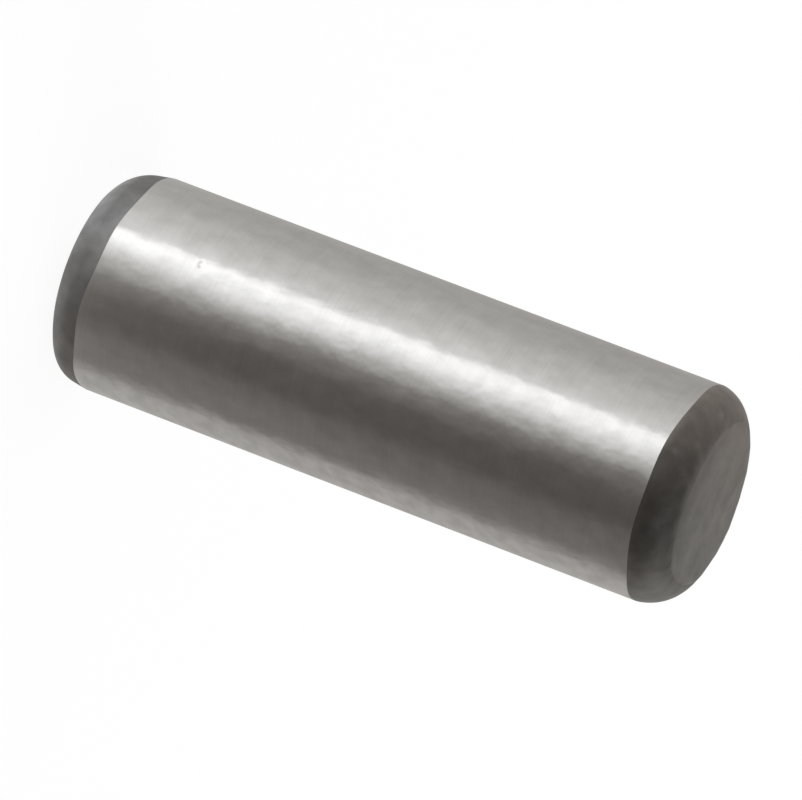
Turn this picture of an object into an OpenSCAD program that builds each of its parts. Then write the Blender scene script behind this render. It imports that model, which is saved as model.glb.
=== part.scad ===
// Hardened and ground machine dowel pin: one solid cylinder with a crown and a point.
// It stands on the flat face of its point, with its axis along +Z and its crown on top.
// The ends keep the form that they were turned to, and the shank between them is ground
// to size, so each end meets the shank at a crisp edge and falls away from it at an angle.

/* [Shank] */
// Diameter of the ground shank
pin_d = 6.35; // [4:0.05:25]
// Length over both ends
pin_length = 19.05; // [6:0.05:100]

/* [Crown] */
// Angle to the axis at which the crown's rounding leaves the shank
crown_angle = 9.7; // [4:0.1:12]
// Radius of the crown's rounding
crown_radius = 1.21; // [1.15:0.01:1.6]
// Height of the crown, from the shank's edge to the flat face
crown_height = 0.94; // [0.3:0.01:1]

/* [Point] */
// Angle to the axis of the point's straight lead-in
lead_in_angle = 10; // [4:0.5:12]
// Length of the lead-in along the axis
lead_in_length = 0.45; // [0.4:0.01:0.8]
// Angle to the axis at which the point's rounding leaves the lead-in
point_angle = 14; // [13:0.5:16]
// Radius of the point's rounding
point_radius = 0.9; // [0.85:0.01:1.6]
// Height of the point, from the shank's edge to the flat face
point_height = 1.05; // [0.85:0.01:1.1]

/* [Hidden] */
$fn = 128;
steel = "gainsboro";

// How far a shape that trims another reaches past it
overreach = 1;

lead_in_end_r = pin_d / 2 - lead_in_length * tan(lead_in_angle);
point_face_line_r = pin_d / 2 - point_height * tan(lead_in_angle);

// Half section of the pin before its ends are rounded: the shank, narrowed at its foot
// by the lead-in, which runs on to the point's face.
module blank_half_section() {
    polygon([
        [0, 0],
        [point_face_line_r, 0],
        [pin_d / 2, point_height],
        [pin_d / 2, pin_length],
        [0, pin_length]
    ]);
}

// All that one end's rounding leaves of a half section whose flat face is at height 0,
// facing up. The rounding starts at start_r from the axis and start_depth under the face,
// on a flank that leans in by flank_angle, and leaves that flank at start_angle to the
// axis. Its circle stands outside the flank for a short way below the start, and the body
// goes over to it half-way along there.
module left_by_rounding(start_r, start_depth, flank_angle, start_angle, radius) {
    centre_r = start_r - radius * cos(start_angle);
    centre_depth = start_depth + radius * sin(start_angle);
    body_depth = start_depth + radius * sin(start_angle - flank_angle) * cos(flank_angle);
    translate([0, -pin_length - overreach])
        square([pin_d, pin_length + overreach - body_depth]);
    translate([0, -centre_depth - radius])
        square([centre_r, centre_depth + radius + overreach]);
    translate([centre_r, -centre_depth])
        circle(r = radius);
}

// Half section of the finished pin.
module pin_half_section() {
    intersection() {
        blank_half_section();
        translate([0, pin_length])
            left_by_rounding(pin_d / 2, crown_height, 0, crown_angle, crown_radius);
        mirror([0, 1])
            left_by_rounding(
                lead_in_end_r, point_height - lead_in_length,
                lead_in_angle, point_angle, point_radius
            );
    }
}

module dowel_pin() {
    color(steel) rotate_extrude() pin_half_section();
}

dowel_pin();
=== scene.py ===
"""A hardened and ground dowel pin, standing on its point, dressed for rendering.

The pin is rebuilt here as one fine mesh, from the same sizes as its CAD solid, with the slightly
tilted ground edges and the marks of the real one.

Lengths are in metres, and azimuths are in degrees: 0 at the camera, on the -Y side, and 90 on the
+X side, which is the lower side in the photograph.
"""

import math
from collections import namedtuple

import bpy
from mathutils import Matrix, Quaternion, Vector


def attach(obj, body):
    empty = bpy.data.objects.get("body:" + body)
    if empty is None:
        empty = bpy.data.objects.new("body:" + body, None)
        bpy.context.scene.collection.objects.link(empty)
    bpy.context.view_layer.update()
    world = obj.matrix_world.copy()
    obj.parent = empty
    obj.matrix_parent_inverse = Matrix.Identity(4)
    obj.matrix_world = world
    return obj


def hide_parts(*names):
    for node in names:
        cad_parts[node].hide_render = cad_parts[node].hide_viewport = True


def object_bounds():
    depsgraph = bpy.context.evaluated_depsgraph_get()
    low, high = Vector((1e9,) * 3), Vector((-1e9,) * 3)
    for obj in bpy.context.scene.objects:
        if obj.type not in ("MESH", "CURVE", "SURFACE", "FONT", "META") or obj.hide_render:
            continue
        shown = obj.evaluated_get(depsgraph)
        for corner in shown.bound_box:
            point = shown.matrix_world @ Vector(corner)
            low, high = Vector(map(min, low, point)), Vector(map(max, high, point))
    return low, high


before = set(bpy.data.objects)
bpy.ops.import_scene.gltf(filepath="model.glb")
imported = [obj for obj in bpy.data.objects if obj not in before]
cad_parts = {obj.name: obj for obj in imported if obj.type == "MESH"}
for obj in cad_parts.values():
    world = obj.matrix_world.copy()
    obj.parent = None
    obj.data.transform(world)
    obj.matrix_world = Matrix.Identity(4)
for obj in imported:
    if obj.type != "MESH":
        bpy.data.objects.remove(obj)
cad_low, cad_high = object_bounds()

MM = 0.001
PIN_RADIUS = (cad_high.x - cad_low.x) / 2
PIN_LENGTH = cad_high.z

# The crown's rounding: a tangent angle to the axis at the shank, a radius and a height.
CROWN_ANGLE = math.radians(9.7)
CROWN_RADIUS = 1.21 * MM
CROWN_HEIGHT = 0.94 * MM
# From this tangent angle to the axis on, the crown's rounding eases into its flat face.
CROWN_EASE_ANGLE = math.radians(52)

# The point: a conical lead-in, then a rounding down to the flat face. POINT_ANGLE is the rounding's
# tangent angle to the axis where it meets the lead-in, and POINT_HEIGHT is that of both.
LEAD_IN_ANGLE = math.radians(10)
LEAD_IN_LENGTH = 0.45 * MM
POINT_ANGLE = math.radians(14)
POINT_RADIUS = 0.9 * MM
POINT_HEIGHT = 1.05 * MM

# Waves round the pin: for each count of them, their size and the azimuth of a crest. They lift the
# two edges of the ground surface, which are a little out of square and uneven, and take the border
# of the crown's face outwards. Where the rounding eases into the face, a share falls from 1 to 0:
# the border's waves are highest at BORDER_PEAK and fade out on the face, and the face's finish
# starts at FACE_START.
POINT_EDGE_WAVES = {1: (0.144 * MM, -90), 3: (0.018 * MM, -44), 8: (0.023 * MM, -2)}
CROWN_EDGE_WAVES = {1: (0.075 * MM, -90), 4: (0.017 * MM, 36), 7: (0.019 * MM, 3)}
BORDER_WAVES = {3: (0.04 * MM, 31), 7: (0.025 * MM, 10), 19: (0.012 * MM, 0), 37: (0.006 * MM, 5)}
BORDER_PEAK = 0.25
FACE_WAVE_SHARE = 0.67
FACE_WAVE_FADE = 8
FACE_START = 0.2

# Small pits in the ground surface. The mesh is finer within PIT_REACH of their heights and of the
# first one's azimuth.
Pit = namedtuple("Pit", "azimuth height half_width half_length depth")
PITS = [
    Pit(-21.8, 3.81 * MM, 0.17 * MM, 0.12 * MM, 0.016 * MM),
    Pit(-23, 14.9 * MM, 0.1 * MM, 0.07 * MM, 0.004 * MM),
]
PIT_REACH = 0.22 * MM

# Specks of bare steel on the crown's rounding: where they are, and how far each one reaches.
Speck = namedtuple("Speck", "azimuth radius height reach")
SPECKS = [
    Speck(-60, 2.73 * MM, 18.86 * MM, 0.2 * MM),
    Speck(-30, 2.78 * MM, 18.81 * MM, 0.17 * MM),
    Speck(-19, 3.08 * MM, 18.41 * MM, 0.17 * MM),
    Speck(22, 2.93 * MM, 18.66 * MM, 0.38 * MM),
]

# Steps of the mesh: over each stretch of the profile, round the pin, and across a pit.
FACE_STEPS = 12
POINT_STEPS = 20
LEAD_IN_STEPS = 4
SHANK_STEPS = 60
CROWN_STEPS = 26
EASE_STEPS = 16
ROUND_STEPS = 320
PIT_STEPS = 16

# The pin's materials, in the order of its material slots.
SHANK, POINT, CROWN, FACE = range(4)

# Noise lies mostly between these two values, where a surface's darker and lighter tones are put.
NOISE_LOW, NOISE_HIGH = 0.3, 0.7
BLOTCH_DARKNESS = 0.72
# Bare steel, which also gives the painted highlight on the rim of the point's face.
BARE_STEEL_AND_RIM_HIGHLIGHT = (0.44, 0.44, 0.44)

# The scale on each rounded end: its roughness, and its tints on the -X side and on the +X side.
POINT_ROUGHNESS = 0.68
POINT_TINTS = (0.208, 0.208, 0.206), (0.24, 0.23, 0.222)
CROWN_ROUGHNESS = 0.48
CROWN_TINTS = (0.258, 0.234, 0.211), (0.213, 0.207, 0.195)

# The lens is in millimetres, for Blender's sensor of 36 mm.
CAMERA_LENS = 506.58
CAMERA_AIM = Vector((0.334, 0, 9.634)) * MM
CAMERA_DISTANCE = 310.54 * MM
CAMERA_ELEVATION = math.radians(18.621)
CAMERA_ROLL = math.radians(110.87)

FLOOR_SIZE = 20
FLOOR_COLOUR = (0.8, 0.8, 0.8, 1)
# How much of the floor's own glow, and how bright, the camera and mirror-like surfaces see.
FLOOR_GLOW_SHARE = 0.6
FLOOR_GLOW = 1.46

# How bright the world is overhead, where 1 is white, and from which height in the sky.
OVERHEAD = 0.19
OVERHEAD_FROM = 0.8

# The sweep of panels and cards that the metal mirrors. Each stop is an azimuth, the brightness of
# the part that lies on the floor, and that of the part that rises behind it. The pool is what the
# lying part gains at each distance from the pin. The tints go with the brightness, as a share of
# SWEEP_BRIGHTEST.
SWEEP_GAP = 0.05 * MM
SWEEP_HEIGHT = 0.5
SWEEP_BRIGHTEST = 4
SWEEP_TINTS = [
    (0.025, (1, 0.885, 0.82)),
    (0.13, (1, 0.958, 0.93)),
    (0.19, (1, 0.977, 0.953)),
    (0.6, (0.99, 1, 1.02)),
]
SWEEP_POOL = {0.6 * MM: 0.24, 2 * MM: 0.1, 6 * MM: 0.07, 30 * MM: 0, 400 * MM: 0}
SWEEP_STOPS = [
    (-180, 0.62, 0.55),
    (-120, 0.85, 0.68),
    (-88, 1.35, 0.6),
    (-63, 1.85, 0.45),
    (-54, 1.95, 0.5),
    (-47, 4.2, 0.6),
    (-40, 3.3, 0.5),
    (-30, 2.4, 0.42),
    (-15, 1.28, 0.3),
    (0, 0.5, 0.16),
    (20, 0.26, 0.08),
    (45, 0.2, 0.07),
    (63, 0.35, 0.09),
    (85, 0.42, 0.13),
    (100, 0.3, 0.18),
    (118, 0.68, 0.7),
    (180, 0.62, 0.55),
]

# A ring of the mesh: its zone is a material, and the shares are how much of each set of waves it
# takes.
Ring = namedtuple("Ring", "radius height zone point_share crown_share wave_share")


def direction(azimuth, elevation):
    """The direction out from the pin at an azimuth and an elevation, in degrees."""
    a, e = math.radians(azimuth), math.radians(elevation)
    return Vector((math.sin(a) * math.cos(e), -math.cos(a) * math.cos(e), math.sin(e)))


def spread(start, end, steps):
    """steps + 1 evenly spaced values from start to end."""
    return [start + (end - start) * i / steps for i in range(steps + 1)]


def refined(values, centres, reach):
    """The values, with a close row of them in place of those within reach of each centre."""
    for centre in centres:
        outside = [value for value in values if abs(value - centre) > reach]
        values = sorted(outside + spread(centre - reach, centre + reach, PIT_STEPS))
    return values


def point_rings():
    """Rings from the middle of the point's face up to the shank's lower edge."""
    lead_in_radius = PIN_RADIUS - LEAD_IN_LENGTH * math.tan(LEAD_IN_ANGLE)
    centre_radius = lead_in_radius - POINT_RADIUS * math.cos(POINT_ANGLE)
    centre_height = POINT_HEIGHT - LEAD_IN_LENGTH + POINT_RADIUS * math.sin(POINT_ANGLE)
    face_angle = math.asin(centre_height / POINT_RADIUS)
    face_radius = centre_radius + POINT_RADIUS * math.cos(face_angle)
    rings = [Ring(r, 0, FACE, 0, 0, 0) for r in spread(0, face_radius, FACE_STEPS)[1:]]
    for angle in spread(face_angle, POINT_ANGLE, POINT_STEPS)[1:]:
        share = (face_angle - angle) / (face_angle - POINT_ANGLE)
        radius = centre_radius + POINT_RADIUS * math.cos(angle)
        height = centre_height - POINT_RADIUS * math.sin(angle)
        rings.append(Ring(radius, height, POINT, share, 0, 0))
    for share in spread(0, 1, LEAD_IN_STEPS)[1:]:
        radius = lead_in_radius + (PIN_RADIUS - lead_in_radius) * share
        height = POINT_HEIGHT - LEAD_IN_LENGTH * (1 - share)
        rings.append(Ring(radius, height, POINT, 1, 0, 0))
    return rings


def shank_rings():
    """Rings of the ground shank above its lower edge, up to its upper edge."""
    low, high = POINT_HEIGHT, PIN_LENGTH - CROWN_HEIGHT
    rings = []
    heights = refined(spread(low, high, SHANK_STEPS), [pit.height for pit in PITS], PIT_REACH)
    for height in heights[1:]:
        share = (height - low) / (high - low)
        rings.append(Ring(PIN_RADIUS, height, SHANK, 1 - share, share, 0))
    return rings


def crown_rings():
    """Rings above the shank's upper edge, over the crown to the middle of its face."""
    centre_radius = PIN_RADIUS - CROWN_RADIUS * math.cos(CROWN_ANGLE)
    centre_height = PIN_LENGTH - CROWN_HEIGHT - CROWN_RADIUS * math.sin(CROWN_ANGLE)
    rings = []
    for angle in spread(CROWN_ANGLE, CROWN_EASE_ANGLE, CROWN_STEPS)[1:]:
        share = (CROWN_EASE_ANGLE - angle) / (CROWN_EASE_ANGLE - CROWN_ANGLE)
        radius = centre_radius + CROWN_RADIUS * math.cos(angle)
        height = centre_height + CROWN_RADIUS * math.sin(angle)
        rings.append(Ring(radius, height, CROWN, 0, share, 0))
    drop = PIN_LENGTH - height
    face_radius = radius - 2 * drop * math.tan(CROWN_EASE_ANGLE)
    for share in spread(1, 0, EASE_STEPS)[1:]:
        zone = CROWN if share > FACE_START else FACE
        eased_radius = face_radius + (radius - face_radius) * share
        wave_share = 1 - abs(share - BORDER_PEAK) / (1 - BORDER_PEAK)
        rings.append(Ring(eased_radius, PIN_LENGTH - drop * share**2, zone, 0, 0, wave_share))
    for share in spread(1, 0, FACE_STEPS)[1:-1]:
        wave_share = FACE_WAVE_SHARE * share**FACE_WAVE_FADE
        rings.append(Ring(face_radius * share, PIN_LENGTH, FACE, 0, 0, wave_share))
    return rings


def pit_depth(azimuth, height):
    """How deep the pits take the ground surface in at an azimuth and a height."""
    depth = 0
    for pit in PITS:
        aside = math.radians(azimuth - pit.azimuth) * PIN_RADIUS / pit.half_width
        along = (height - pit.height) / pit.half_length
        depth += pit.depth * max(0, 1 - aside**2 - along**2) ** 2
    return depth


def waved(waves, azimuth):
    """The sum of waves round the pin at an azimuth."""
    return sum(
        size * math.cos(count * math.radians(azimuth - crest))
        for count, (size, crest) in waves.items()
    )


def ring_point(ring, azimuth):
    """The point of a ring at an azimuth, with the pits and the waves of the edges in it."""
    height = ring.height + waved(POINT_EDGE_WAVES, azimuth) * ring.point_share
    height += waved(CROWN_EDGE_WAVES, azimuth) * ring.crown_share
    radius = ring.radius + waved(BORDER_WAVES, azimuth) * ring.wave_share
    if ring.zone == SHANK:
        radius -= pit_depth(azimuth, height)
    return direction(azimuth, 0) * radius + Vector((0, 0, height))


def pin_piece():
    """The whole pin as one closed mesh, with a sharp crease at each edge of its ground surface."""
    rings = point_rings() + shank_rings() + crown_rings()
    pit_reach = math.degrees(PIT_REACH / PIN_RADIUS)
    azimuths = refined(spread(-180, 180, ROUND_STEPS)[:-1], [PITS[0].azimuth], pit_reach)
    around = len(azimuths)
    points = [Vector((0, 0, 0))]
    points += [ring_point(ring, azimuth) for ring in rings for azimuth in azimuths]
    points.append(Vector((0, 0, PIN_LENGTH)))
    top = len(points) - 1

    faces, zones = [], []
    for j in range(around):
        faces.append((0, 1 + (j + 1) % around, 1 + j))
        zones.append(FACE)
    for i in range(len(rings) - 1):
        low, high = 1 + i * around, 1 + (i + 1) * around
        for j in range(around):
            k = (j + 1) % around
            faces.append((low + j, low + k, high + k, high + j))
            zones.append(rings[i + 1].zone)
    last = 1 + (len(rings) - 1) * around
    for j in range(around):
        faces.append((last + j, last + (j + 1) % around, top))
        zones.append(FACE)

    mesh = bpy.data.meshes.new("ground_pin")
    mesh.from_pydata(points, [], faces)
    mesh.polygons.foreach_set("material_index", zones)
    mesh.shade_smooth()
    mark_creases(mesh)
    pin = bpy.data.objects.new("ground_pin", mesh)
    bpy.context.scene.collection.objects.link(pin)
    return pin


def mark_creases(mesh):
    """Makes every edge sharp where the ground surface meets another zone."""
    zones_at = {}
    for face in mesh.polygons:
        for key in face.edge_keys:
            zones_at.setdefault(key, set()).add(face.material_index)
    sharp = [SHANK in zones_at[edge.key] and len(zones_at[edge.key]) > 1 for edge in mesh.edges]
    crease = mesh.attributes.new("sharp_edge", "BOOLEAN", "EDGE")
    crease.data.foreach_set("value", sharp)


class Surface:
    """A new node material, with short ways to add nodes to it."""

    def __init__(self, name):
        self.material = bpy.data.materials.new(name)
        self.material.use_nodes = True
        self.nodes = self.material.node_tree.nodes
        self.nodes.clear()
        self.link = self.material.node_tree.links.new
        self.output = self.nodes.new("ShaderNodeOutputMaterial")

    def steel(self, metallic, roughness):
        """The surface's shader, of this metallic share and roughness."""
        shader = self.nodes.new("ShaderNodeBsdfPrincipled")
        shader.inputs["Metallic"].default_value = metallic
        shader.inputs["Roughness"].default_value = roughness
        self.link(shader.outputs["BSDF"], self.output.inputs["Surface"])
        return shader

    def noise(self, *size, detail=2):
        """Noise from 0 to 1 whose features have this size along x, y and z, in millimetres."""
        place = self.nodes.new("ShaderNodeMapping")
        place.inputs["Scale"].default_value = [1 / (length * MM) for length in size]
        self.link(self.nodes.new("ShaderNodeTexCoord").outputs["Object"], place.inputs["Vector"])
        noise = self.nodes.new("ShaderNodeTexNoise")
        noise.inputs["Scale"].default_value = 1
        noise.inputs["Detail"].default_value = detail
        self.link(place.outputs["Vector"], noise.inputs["Vector"])
        return noise.outputs["Fac"]

    def ranged(self, value, low, high, first, second):
        """A value that goes from first to second as the given one goes from low to high."""
        ranged = self.nodes.new("ShaderNodeMapRange")
        ranged.inputs["From Min"].default_value = low
        ranged.inputs["From Max"].default_value = high
        ranged.inputs["To Min"].default_value = first
        ranged.inputs["To Max"].default_value = second
        self.link(value, ranged.inputs["Value"])
        return ranged.outputs["Result"]

    def tones(self, value, *stops):
        """A colour that follows a value through stops, each a value from 0 to 1 and a colour."""
        ramp = self.nodes.new("ShaderNodeValToRGB")
        elements = ramp.color_ramp.elements
        for element, (position, colour) in zip(elements, (stops[0], stops[-1])):
            element.position = position
            element.color = (*colour, 1)
        for position, colour in stops[1:-1]:
            elements.new(position).color = (*colour, 1)
        self.link(value, ramp.inputs["Fac"])
        return ramp.outputs["Color"]

    def cloudy(self, noise, dark, light):
        """A colour that follows noise from dark to light."""
        return self.tones(noise, (NOISE_LOW, dark), (NOISE_HIGH, light))

    def mixed(self, share, first, second):
        """Two colours mixed by a share from 0 to 1, or half and half where that is None."""
        mix = self.nodes.new("ShaderNodeMixRGB")
        if share:
            self.link(share, mix.inputs["Fac"])
        self.link(first, mix.inputs["Color1"])
        self.link(second, mix.inputs["Color2"])
        return mix.outputs["Color"]

    def combined(self, operation, first, *others):
        """Values combined one after another by a mathematical operation."""
        for other in others:
            node = self.nodes.new("ShaderNodeMath")
            node.operation = operation
            self.link(first, node.inputs[0])
            self.link(other, node.inputs[1])
            first = node.outputs[0]
        return first

    def banded(self, *bands):
        """The product of shares that each change along an axis: each band is the axis, two places
        on it in millimetres and the shares there."""
        place = self.nodes.new("ShaderNodeSeparateXYZ")
        self.link(self.nodes.new("ShaderNodeTexCoord").outputs["Object"], place.inputs[0])
        shares = [
            self.ranged(place.outputs[axis], low * MM, high * MM, first, second)
            for axis, low, high, first, second in bands
        ]
        return self.combined("MULTIPLY", *shares)

    def near(self, place, reach):
        """A value that falls from 1 at a place to 0 at this distance from it."""
        distance = self.nodes.new("ShaderNodeVectorMath")
        distance.operation = "DISTANCE"
        distance.inputs[1].default_value = place
        self.link(self.nodes.new("ShaderNodeTexCoord").outputs["Object"], distance.inputs[0])
        return self.ranged(distance.outputs["Value"], 0, reach, 1, 0)

    def bump(self, height, depth, under=None, share=None):
        """A normal from a height that goes from 0 to 1 over this many micrometres. It can lie on
        another normal, and its strength can follow a share from 0 to 1."""
        bump = self.nodes.new("ShaderNodeBump")
        bump.inputs["Distance"].default_value = depth * MM / 1000
        self.link(height, bump.inputs["Height"])
        if under:
            self.link(under, bump.inputs["Normal"])
        if share:
            self.link(share, bump.inputs["Strength"])
        return bump.outputs["Normal"]


def ground_steel():
    """Ground steel: grinding lines run round the pin, so it is smooth round it and rough along it.
    The +X side is a little rougher and patchier."""
    surface = Surface("ground_steel")
    steel = surface.steel(metallic=1, roughness=0.36)
    steel.inputs["Anisotropic"].default_value = 1
    # A quarter turn from the tangent round the pin, which makes it rough along the pin.
    steel.inputs["Anisotropic Rotation"].default_value = 0.25
    tangent = surface.nodes.new("ShaderNodeTangent")
    tangent.direction_type = "RADIAL"
    tangent.axis = "Z"
    surface.link(tangent.outputs["Tangent"], steel.inputs["Tangent"])
    lines = surface.noise(1.6, 1.6, 0.05, detail=4)
    clouds = surface.noise(0.45, 0.45, 0.6, detail=4)
    streaked = surface.cloudy(lines, (0.44, 0.435, 0.423), (0.5, 0.495, 0.482))
    clouded = surface.cloudy(clouds, (0.41, 0.405, 0.393), (0.53, 0.525, 0.512))
    patches = surface.noise(0.7, 0.7, 0.45, detail=3)
    mottled = surface.tones(patches, (0.36, (0.422, 0.416, 0.405)), (0.62, (0.51, 0.504, 0.495)))
    rougher_side = surface.banded(("X", 2.3, 2.9, 0, 1))
    even = surface.mixed(None, streaked, clouded)
    surface.link(surface.mixed(rougher_side, even, mottled), steel.inputs["Base Color"])
    wander = surface.bump(surface.noise(2.5, 2.5, 4), depth=50)
    strength = surface.ranged(rougher_side, 0, 1, 0.6, 1)
    ripple = surface.bump(surface.noise(0.6, 0.6, 0.7), depth=30, under=wander, share=strength)
    surface.link(surface.bump(lines, depth=0.8, under=ripple), steel.inputs["Normal"])
    return surface.material


def blotched(surface, tint):
    """A blotchy colour, this tint where it is lightest."""
    blotches = surface.noise(0.5, 0.5, 0.5, detail=4)
    return surface.cloudy(blotches, [part * BLOTCH_DARKNESS for part in tint], tint)


def scaled_steel(name, roughness, tints, marks_and_painted_light):
    """A rounded end, which keeps the dull scale of heat treatment. Its tints are those of the -X
    side and of the +X side, and marks_and_painted_light adds the end's own marks to the colour,
    with a painted highlight on the point and painted shade on the crown."""
    surface = Surface(name)
    steel = surface.steel(metallic=0.9, roughness=roughness)
    share = surface.banded(("X", -1.6, 1.6, 0, 1))
    scale = surface.mixed(share, *(blotched(surface, tint) for tint in tints))
    surface.link(marks_and_painted_light(surface, scale), steel.inputs["Base Color"])
    dents = surface.bump(surface.noise(0.4, 0.4, 0.4, detail=3), depth=10)
    grain = surface.bump(surface.noise(0.06, 0.06, 0.06), depth=1, under=dents)
    surface.link(grain, steel.inputs["Normal"])
    return surface.material


def point_wear_and_rim_highlight(surface, colour):
    """Bare steel with a painted highlight along the rim of the point's face, most of it on -X."""
    # The lighter rim is partly worn scale and partly a painted highlight of its grazing reflection.
    share = surface.banded(("Z", 0.65, 0.2, 0, 1), ("X", -1.8, 0.2, 1, 0.06))
    return surface.mixed(share, colour, blotched(surface, BARE_STEEL_AND_RIM_HIGHLIGHT))


def crown_shade_and_specks(surface, colour):
    """Painted shade, darker next to the ground surface and along the near part of the face's
    border, and faint specks of bare steel."""
    # A dark tone for the painted shade.
    dark = blotched(surface, (0.11, 0.104, 0.096))
    # Painted shade next to the ground surface, away from the ±X sides.
    edge_shade = surface.banded(("Z", 18.85, 18.15, 0, 1), ("X", -2.9, -0.6, 0, 1), ("X", 0.3, 2, 1, 0))
    # Painted shade along the near, -Y part of the face's border.
    near_face_shade = surface.banded(
        ("Z", 18.81, 18.96, 0, 0.5),
        ("X", -0.4, 1.5, 0.35, 1),
        ("X", 1.9, 2.6, 1, 0),
        ("Y", -0.8, 0.4, 1, 0),
    )
    colour = surface.mixed(near_face_shade, surface.mixed(edge_shade, colour, dark), dark)
    specks = []
    for speck in SPECKS:
        place = direction(speck.azimuth, 0) * speck.radius + Vector((0, 0, speck.height))
        specks.append(surface.near(place, speck.reach))
    ragged = surface.ranged(surface.noise(0.25, 0.25, 0.25), 0.35, 0.6, 0.1, 0.3)
    share = surface.combined("MULTIPLY", surface.combined("MAXIMUM", *specks), ragged)
    return surface.mixed(share, colour, blotched(surface, BARE_STEEL_AND_RIM_HIGHLIGHT))


def face_steel():
    """The flat end faces: the same scale over faint marks of the cut, browner towards -X, and
    darker towards -Y with painted shade."""
    surface = Surface("face_steel")
    steel = surface.steel(metallic=0.9, roughness=0.45)
    blotches = surface.noise(0.7, 0.9, 1, detail=4)
    # Painted shade: the -Y part of each face is darker.
    shaded_front = surface.cloudy(blotches, (0.1, 0.097, 0.091), (0.16, 0.156, 0.145))
    back = surface.cloudy(blotches, (0.2, 0.195, 0.182), (0.31, 0.302, 0.282))
    depth = surface.banded(("Y", -2.3, 2.3, 0, 1))
    share = surface.tones(depth, (0, (0, 0, 0)), (0.36, (0.66, 0.66, 0.66)), (1, (1, 1, 1)))
    grey = surface.mixed(share, shaded_front, back)
    brown = blotched(surface, (0.42, 0.35, 0.315))
    browner_side = surface.banded(("X", -2.2, 0.4, 0.28, 0))
    surface.link(surface.mixed(browner_side, grey, brown), steel.inputs["Base Color"])
    marks = surface.bump(surface.noise(0.12, 1.5, 1, detail=4), depth=3)
    surface.link(marks, steel.inputs["Normal"])
    return surface.material


def plane(name, size):
    """A square, flat mesh of that side, centred on the origin and facing up."""
    h = size / 2
    mesh = bpy.data.meshes.new(name)
    mesh.from_pydata([(-h, -h, 0), (h, -h, 0), (h, h, 0), (-h, h, 0)], [], [(0, 1, 2, 3)])
    item = bpy.data.objects.new(name, mesh)
    bpy.context.scene.collection.objects.link(item)
    return item


def lay_floor():
    """A pale floor that shows white and keeps the pin's shadow."""
    surface = Surface("pale_floor")
    nodes, link = surface.nodes, surface.link
    path = nodes.new("ShaderNodeLightPath").outputs
    seen = [path[name] for name in ("Is Camera Ray", "Is Glossy Ray", "Is Transmission Ray")]
    share = surface.ranged(surface.combined("MAXIMUM", *seen), 0, 1, 0, FLOOR_GLOW_SHARE)
    paper = nodes.new("ShaderNodeBsdfDiffuse")
    paper.inputs["Color"].default_value = FLOOR_COLOUR
    glow = nodes.new("ShaderNodeEmission")
    glow.inputs["Strength"].default_value = FLOOR_GLOW
    mixed = nodes.new("ShaderNodeMixShader")
    link(share, mixed.inputs["Fac"])
    link(paper.outputs[0], mixed.inputs[1])
    link(glow.outputs[0], mixed.inputs[2])
    link(mixed.outputs[0], surface.output.inputs["Surface"])
    floor = plane("floor", FLOOR_SIZE)
    floor.data.materials.append(surface.material)


def light_world():
    """A plain studio world: white round the horizon and dim overhead."""
    world = bpy.data.worlds.new("studio")
    world.use_nodes = True
    nodes, link = world.node_tree.nodes, world.node_tree.links.new
    height = nodes.new("ShaderNodeSeparateXYZ")
    link(nodes.new("ShaderNodeTexCoord").outputs["Generated"], height.inputs[0])
    tones = nodes.new("ShaderNodeValToRGB")
    tones.color_ramp.interpolation = "EASE"
    horizon, overhead = tones.color_ramp.elements
    horizon.color = (1, 1, 1, 1)
    overhead.color = (OVERHEAD, OVERHEAD, OVERHEAD, 1)
    overhead.position = OVERHEAD_FROM
    link(height.outputs["Z"], tones.inputs["Fac"])
    link(tones.outputs["Color"], nodes["Background"].inputs["Color"])
    bpy.context.scene.world = world


def softbox(name, azimuth, elevation, distance, size, brightness):
    """A soft square lamp of that side and brightness, which faces the middle of the pin."""
    data = bpy.data.lights.new(name, "AREA")
    data.size = size
    # A square lamp's energy in watts is spread over its area and over pi.
    data.energy = size * size * math.pi * brightness
    lamp = bpy.data.objects.new(name, data)
    lamp.visible_camera = False
    away = direction(azimuth, elevation)
    lamp.location = Vector((0, 0, PIN_LENGTH / 2)) + distance * away
    lamp.rotation_mode = "QUATERNION"
    lamp.rotation_quaternion = (-away).to_track_quat("-Z", "Y")
    bpy.context.scene.collection.objects.link(lamp)


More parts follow.
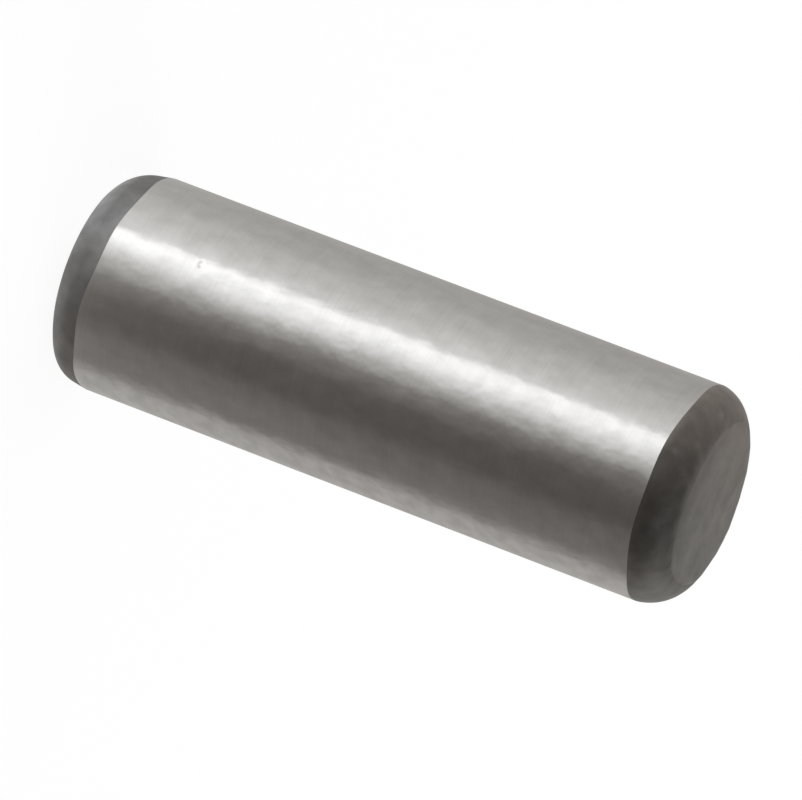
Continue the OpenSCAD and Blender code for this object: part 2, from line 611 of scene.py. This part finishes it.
def stand_sweep():
    """The light panels and cards round the pin, as one sweep that only metal mirrors: it lies on
    the floor from close to the pin and then rises. Its brightness changes with azimuth, it is a
    little brighter near the pin, and where it is dim it is warm."""
    surface = Surface("sweep")
    glow = surface.nodes.new("ShaderNodeEmission")
    surface.link(glow.outputs[0], surface.output.inputs["Surface"])
    brightness = surface.nodes.new("ShaderNodeAttribute")
    brightness.attribute_name = "brightness"
    surface.link(brightness.outputs["Fac"], glow.inputs["Strength"])
    share = surface.ranged(brightness.outputs["Fac"], 0, SWEEP_BRIGHTEST, 0, 1)
    surface.link(surface.tones(share, *SWEEP_TINTS), glow.inputs["Color"])

    points, faces, values = [], [], []
    for azimuth, lying, upright in SWEEP_STOPS:
        outward = direction(azimuth, 0)
        # The pin's surface mirrors this azimuth, towards the camera, at half of it.
        mirrored_at = direction(azimuth / 2, 0) * PIN_RADIUS + Vector((0, 0, SWEEP_GAP))
        points += [mirrored_at + outward * distance for distance in SWEEP_POOL]
        values += [lying + extra for extra in SWEEP_POOL.values()]
        points += [points[-1], points[-1] + Vector((0, 0, SWEEP_HEIGHT))]
        values += [upright, upright]
    row = len(SWEEP_POOL) + 2
    # Where each strip starts in a row: the last one is the upright part, with points of its own.
    strips = [*range(len(SWEEP_POOL) - 1), row - 2]
    for i in range(len(SWEEP_STOPS)):
        for j in strips:
            first, after = row * i + j, row * ((i + 1) % len(SWEEP_STOPS)) + j
            faces.append((first, first + 1, after + 1, after))
    mesh = bpy.data.meshes.new("sweep")
    mesh.from_pydata(points, [], faces)
    mesh.attributes.new("brightness", "FLOAT", "POINT").data.foreach_set("value", values)
    mesh.materials.append(surface.material)
    sweep = bpy.data.objects.new("sweep", mesh)
    sweep.visible_camera = sweep.visible_diffuse = sweep.visible_shadow = False
    bpy.context.scene.collection.objects.link(sweep)


def place_camera():
    """The photograph's view: a long lens, rolled until the pin lies across the frame."""
    data = bpy.data.cameras.new("camera")
    data.lens = CAMERA_LENS
    camera = bpy.data.objects.new("camera", data)
    away = direction(0, math.degrees(CAMERA_ELEVATION))
    camera.location = CAMERA_AIM + CAMERA_DISTANCE * away
    camera.rotation_mode = "QUATERNION"
    turned = Quaternion((0, 0, 1), CAMERA_ROLL)
    camera.rotation_quaternion = (-away).to_track_quat("-Z", "Y") @ turned
    bpy.context.scene.collection.objects.link(camera)
    bpy.context.scene.camera = camera


place_camera()
light_world()
lay_floor()
softbox("key", azimuth=135, elevation=25, distance=0.5, size=0.3, brightness=0.8)
stand_sweep()

pin = pin_piece()
pin.data.materials.append(ground_steel())
pin.data.materials.append(scaled_steel("point_scale", POINT_ROUGHNESS, POINT_TINTS, point_wear_and_rim_highlight))
pin.data.materials.append(scaled_steel("crown_scale", CROWN_ROUGHNESS, CROWN_TINTS, crown_shade_and_specks))
pin.data.materials.append(face_steel())
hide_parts("dowel_pin")
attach(pin, "root")

bpy.context.scene.view_settings.view_transform = "Standard"
